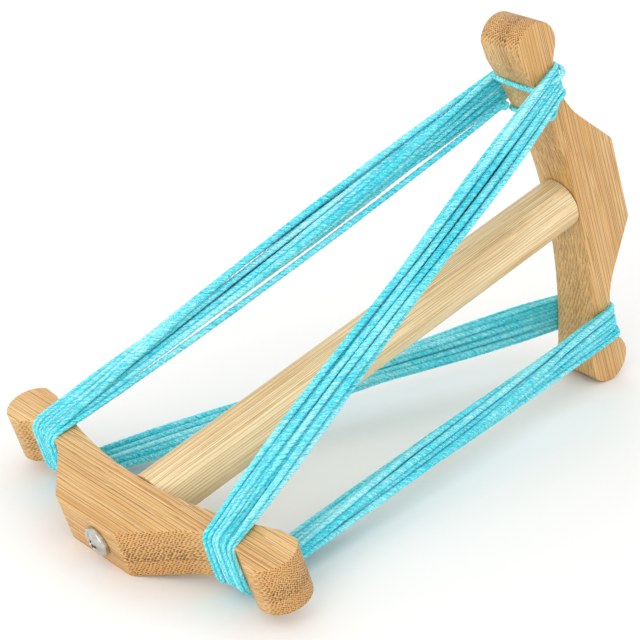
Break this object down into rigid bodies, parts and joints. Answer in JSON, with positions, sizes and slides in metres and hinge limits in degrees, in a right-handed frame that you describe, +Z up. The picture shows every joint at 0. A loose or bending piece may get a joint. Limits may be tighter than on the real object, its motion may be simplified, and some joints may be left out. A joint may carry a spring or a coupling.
{
  "type": "niddy noddy",
  "caption": "Hand skein winder: two bow-shaped bamboo crossbars at right angles on the ends of a round dowel, wound with wool yarn.",
  "frame": {"origin": "middle of the bounding box's underside, on the surface that the winder lies on", "axes": "+X from the near bar towards the far bar, under the dowel, +Y along the near bar, +Z up; the dowel rises towards +X at 17.84 degrees"},
  "size_m": [0.2328, 0.152, 0.1455],
  "materials": {
    "laminated_bamboo": "carbonised laminated bamboo, sanded and oiled to a low sheen, end grain dots on the curved edges",
    "turned_bamboo": "turned bamboo with fine long grain, sanded and oiled to a low sheen",
    "zinc_plated_steel": "bright zinc plate",
    "brass": "plain turned brass",
    "wool_yarn": "turquoise plied wool yarn with a light fuzz"
  },
  "bodies": {
    "near_bar": {"crossbar_near": "laminated_bamboo", "yarn_skein": "wool_yarn"},
    "centre_post": {"dowel": "turned_bamboo", "insert_near": "brass", "insert_far": "brass"},
    "far_bar": {"crossbar_far": "laminated_bamboo", "start_tie": "wool_yarn", "start_knot": "wool_yarn"},
    "near_screw": {"screw_near": "zinc_plated_steel"},
    "far_screw": {"screw_far": "zinc_plated_steel"}
  },
  "joints": [
    {"name": "far_bar_swivel", "type": "hinge", "parent": "near_bar", "child": "far_bar", "pos_m": [-0.00165, -0.0037, 0.04429], "axis": [0.9519, 0, 0.3063], "range_deg": [-45, 45], "deforming": ["yarn_skein"]},
    {"name": "post_spin", "type": "hinge", "parent": "near_bar", "child": "centre_post", "pos_m": [-0.00165, -0.0037, 0.04429], "axis": [0.9519, 0, 0.3063], "continuous": true},
    {"name": "near_screw_turn", "type": "hinge", "parent": "near_bar", "child": "near_screw", "pos_m": [-0.00165, -0.0037, 0.04429], "axis": [0.9519, 0, 0.3063], "range_deg": [-360, 0]},
    {"name": "far_screw_turn", "type": "hinge", "parent": "far_bar", "child": "far_screw", "pos_m": [-0.00165, -0.0037, 0.04429], "axis": [0.9519, 0, 0.3063], "range_deg": [0, 360]}
  ]
}
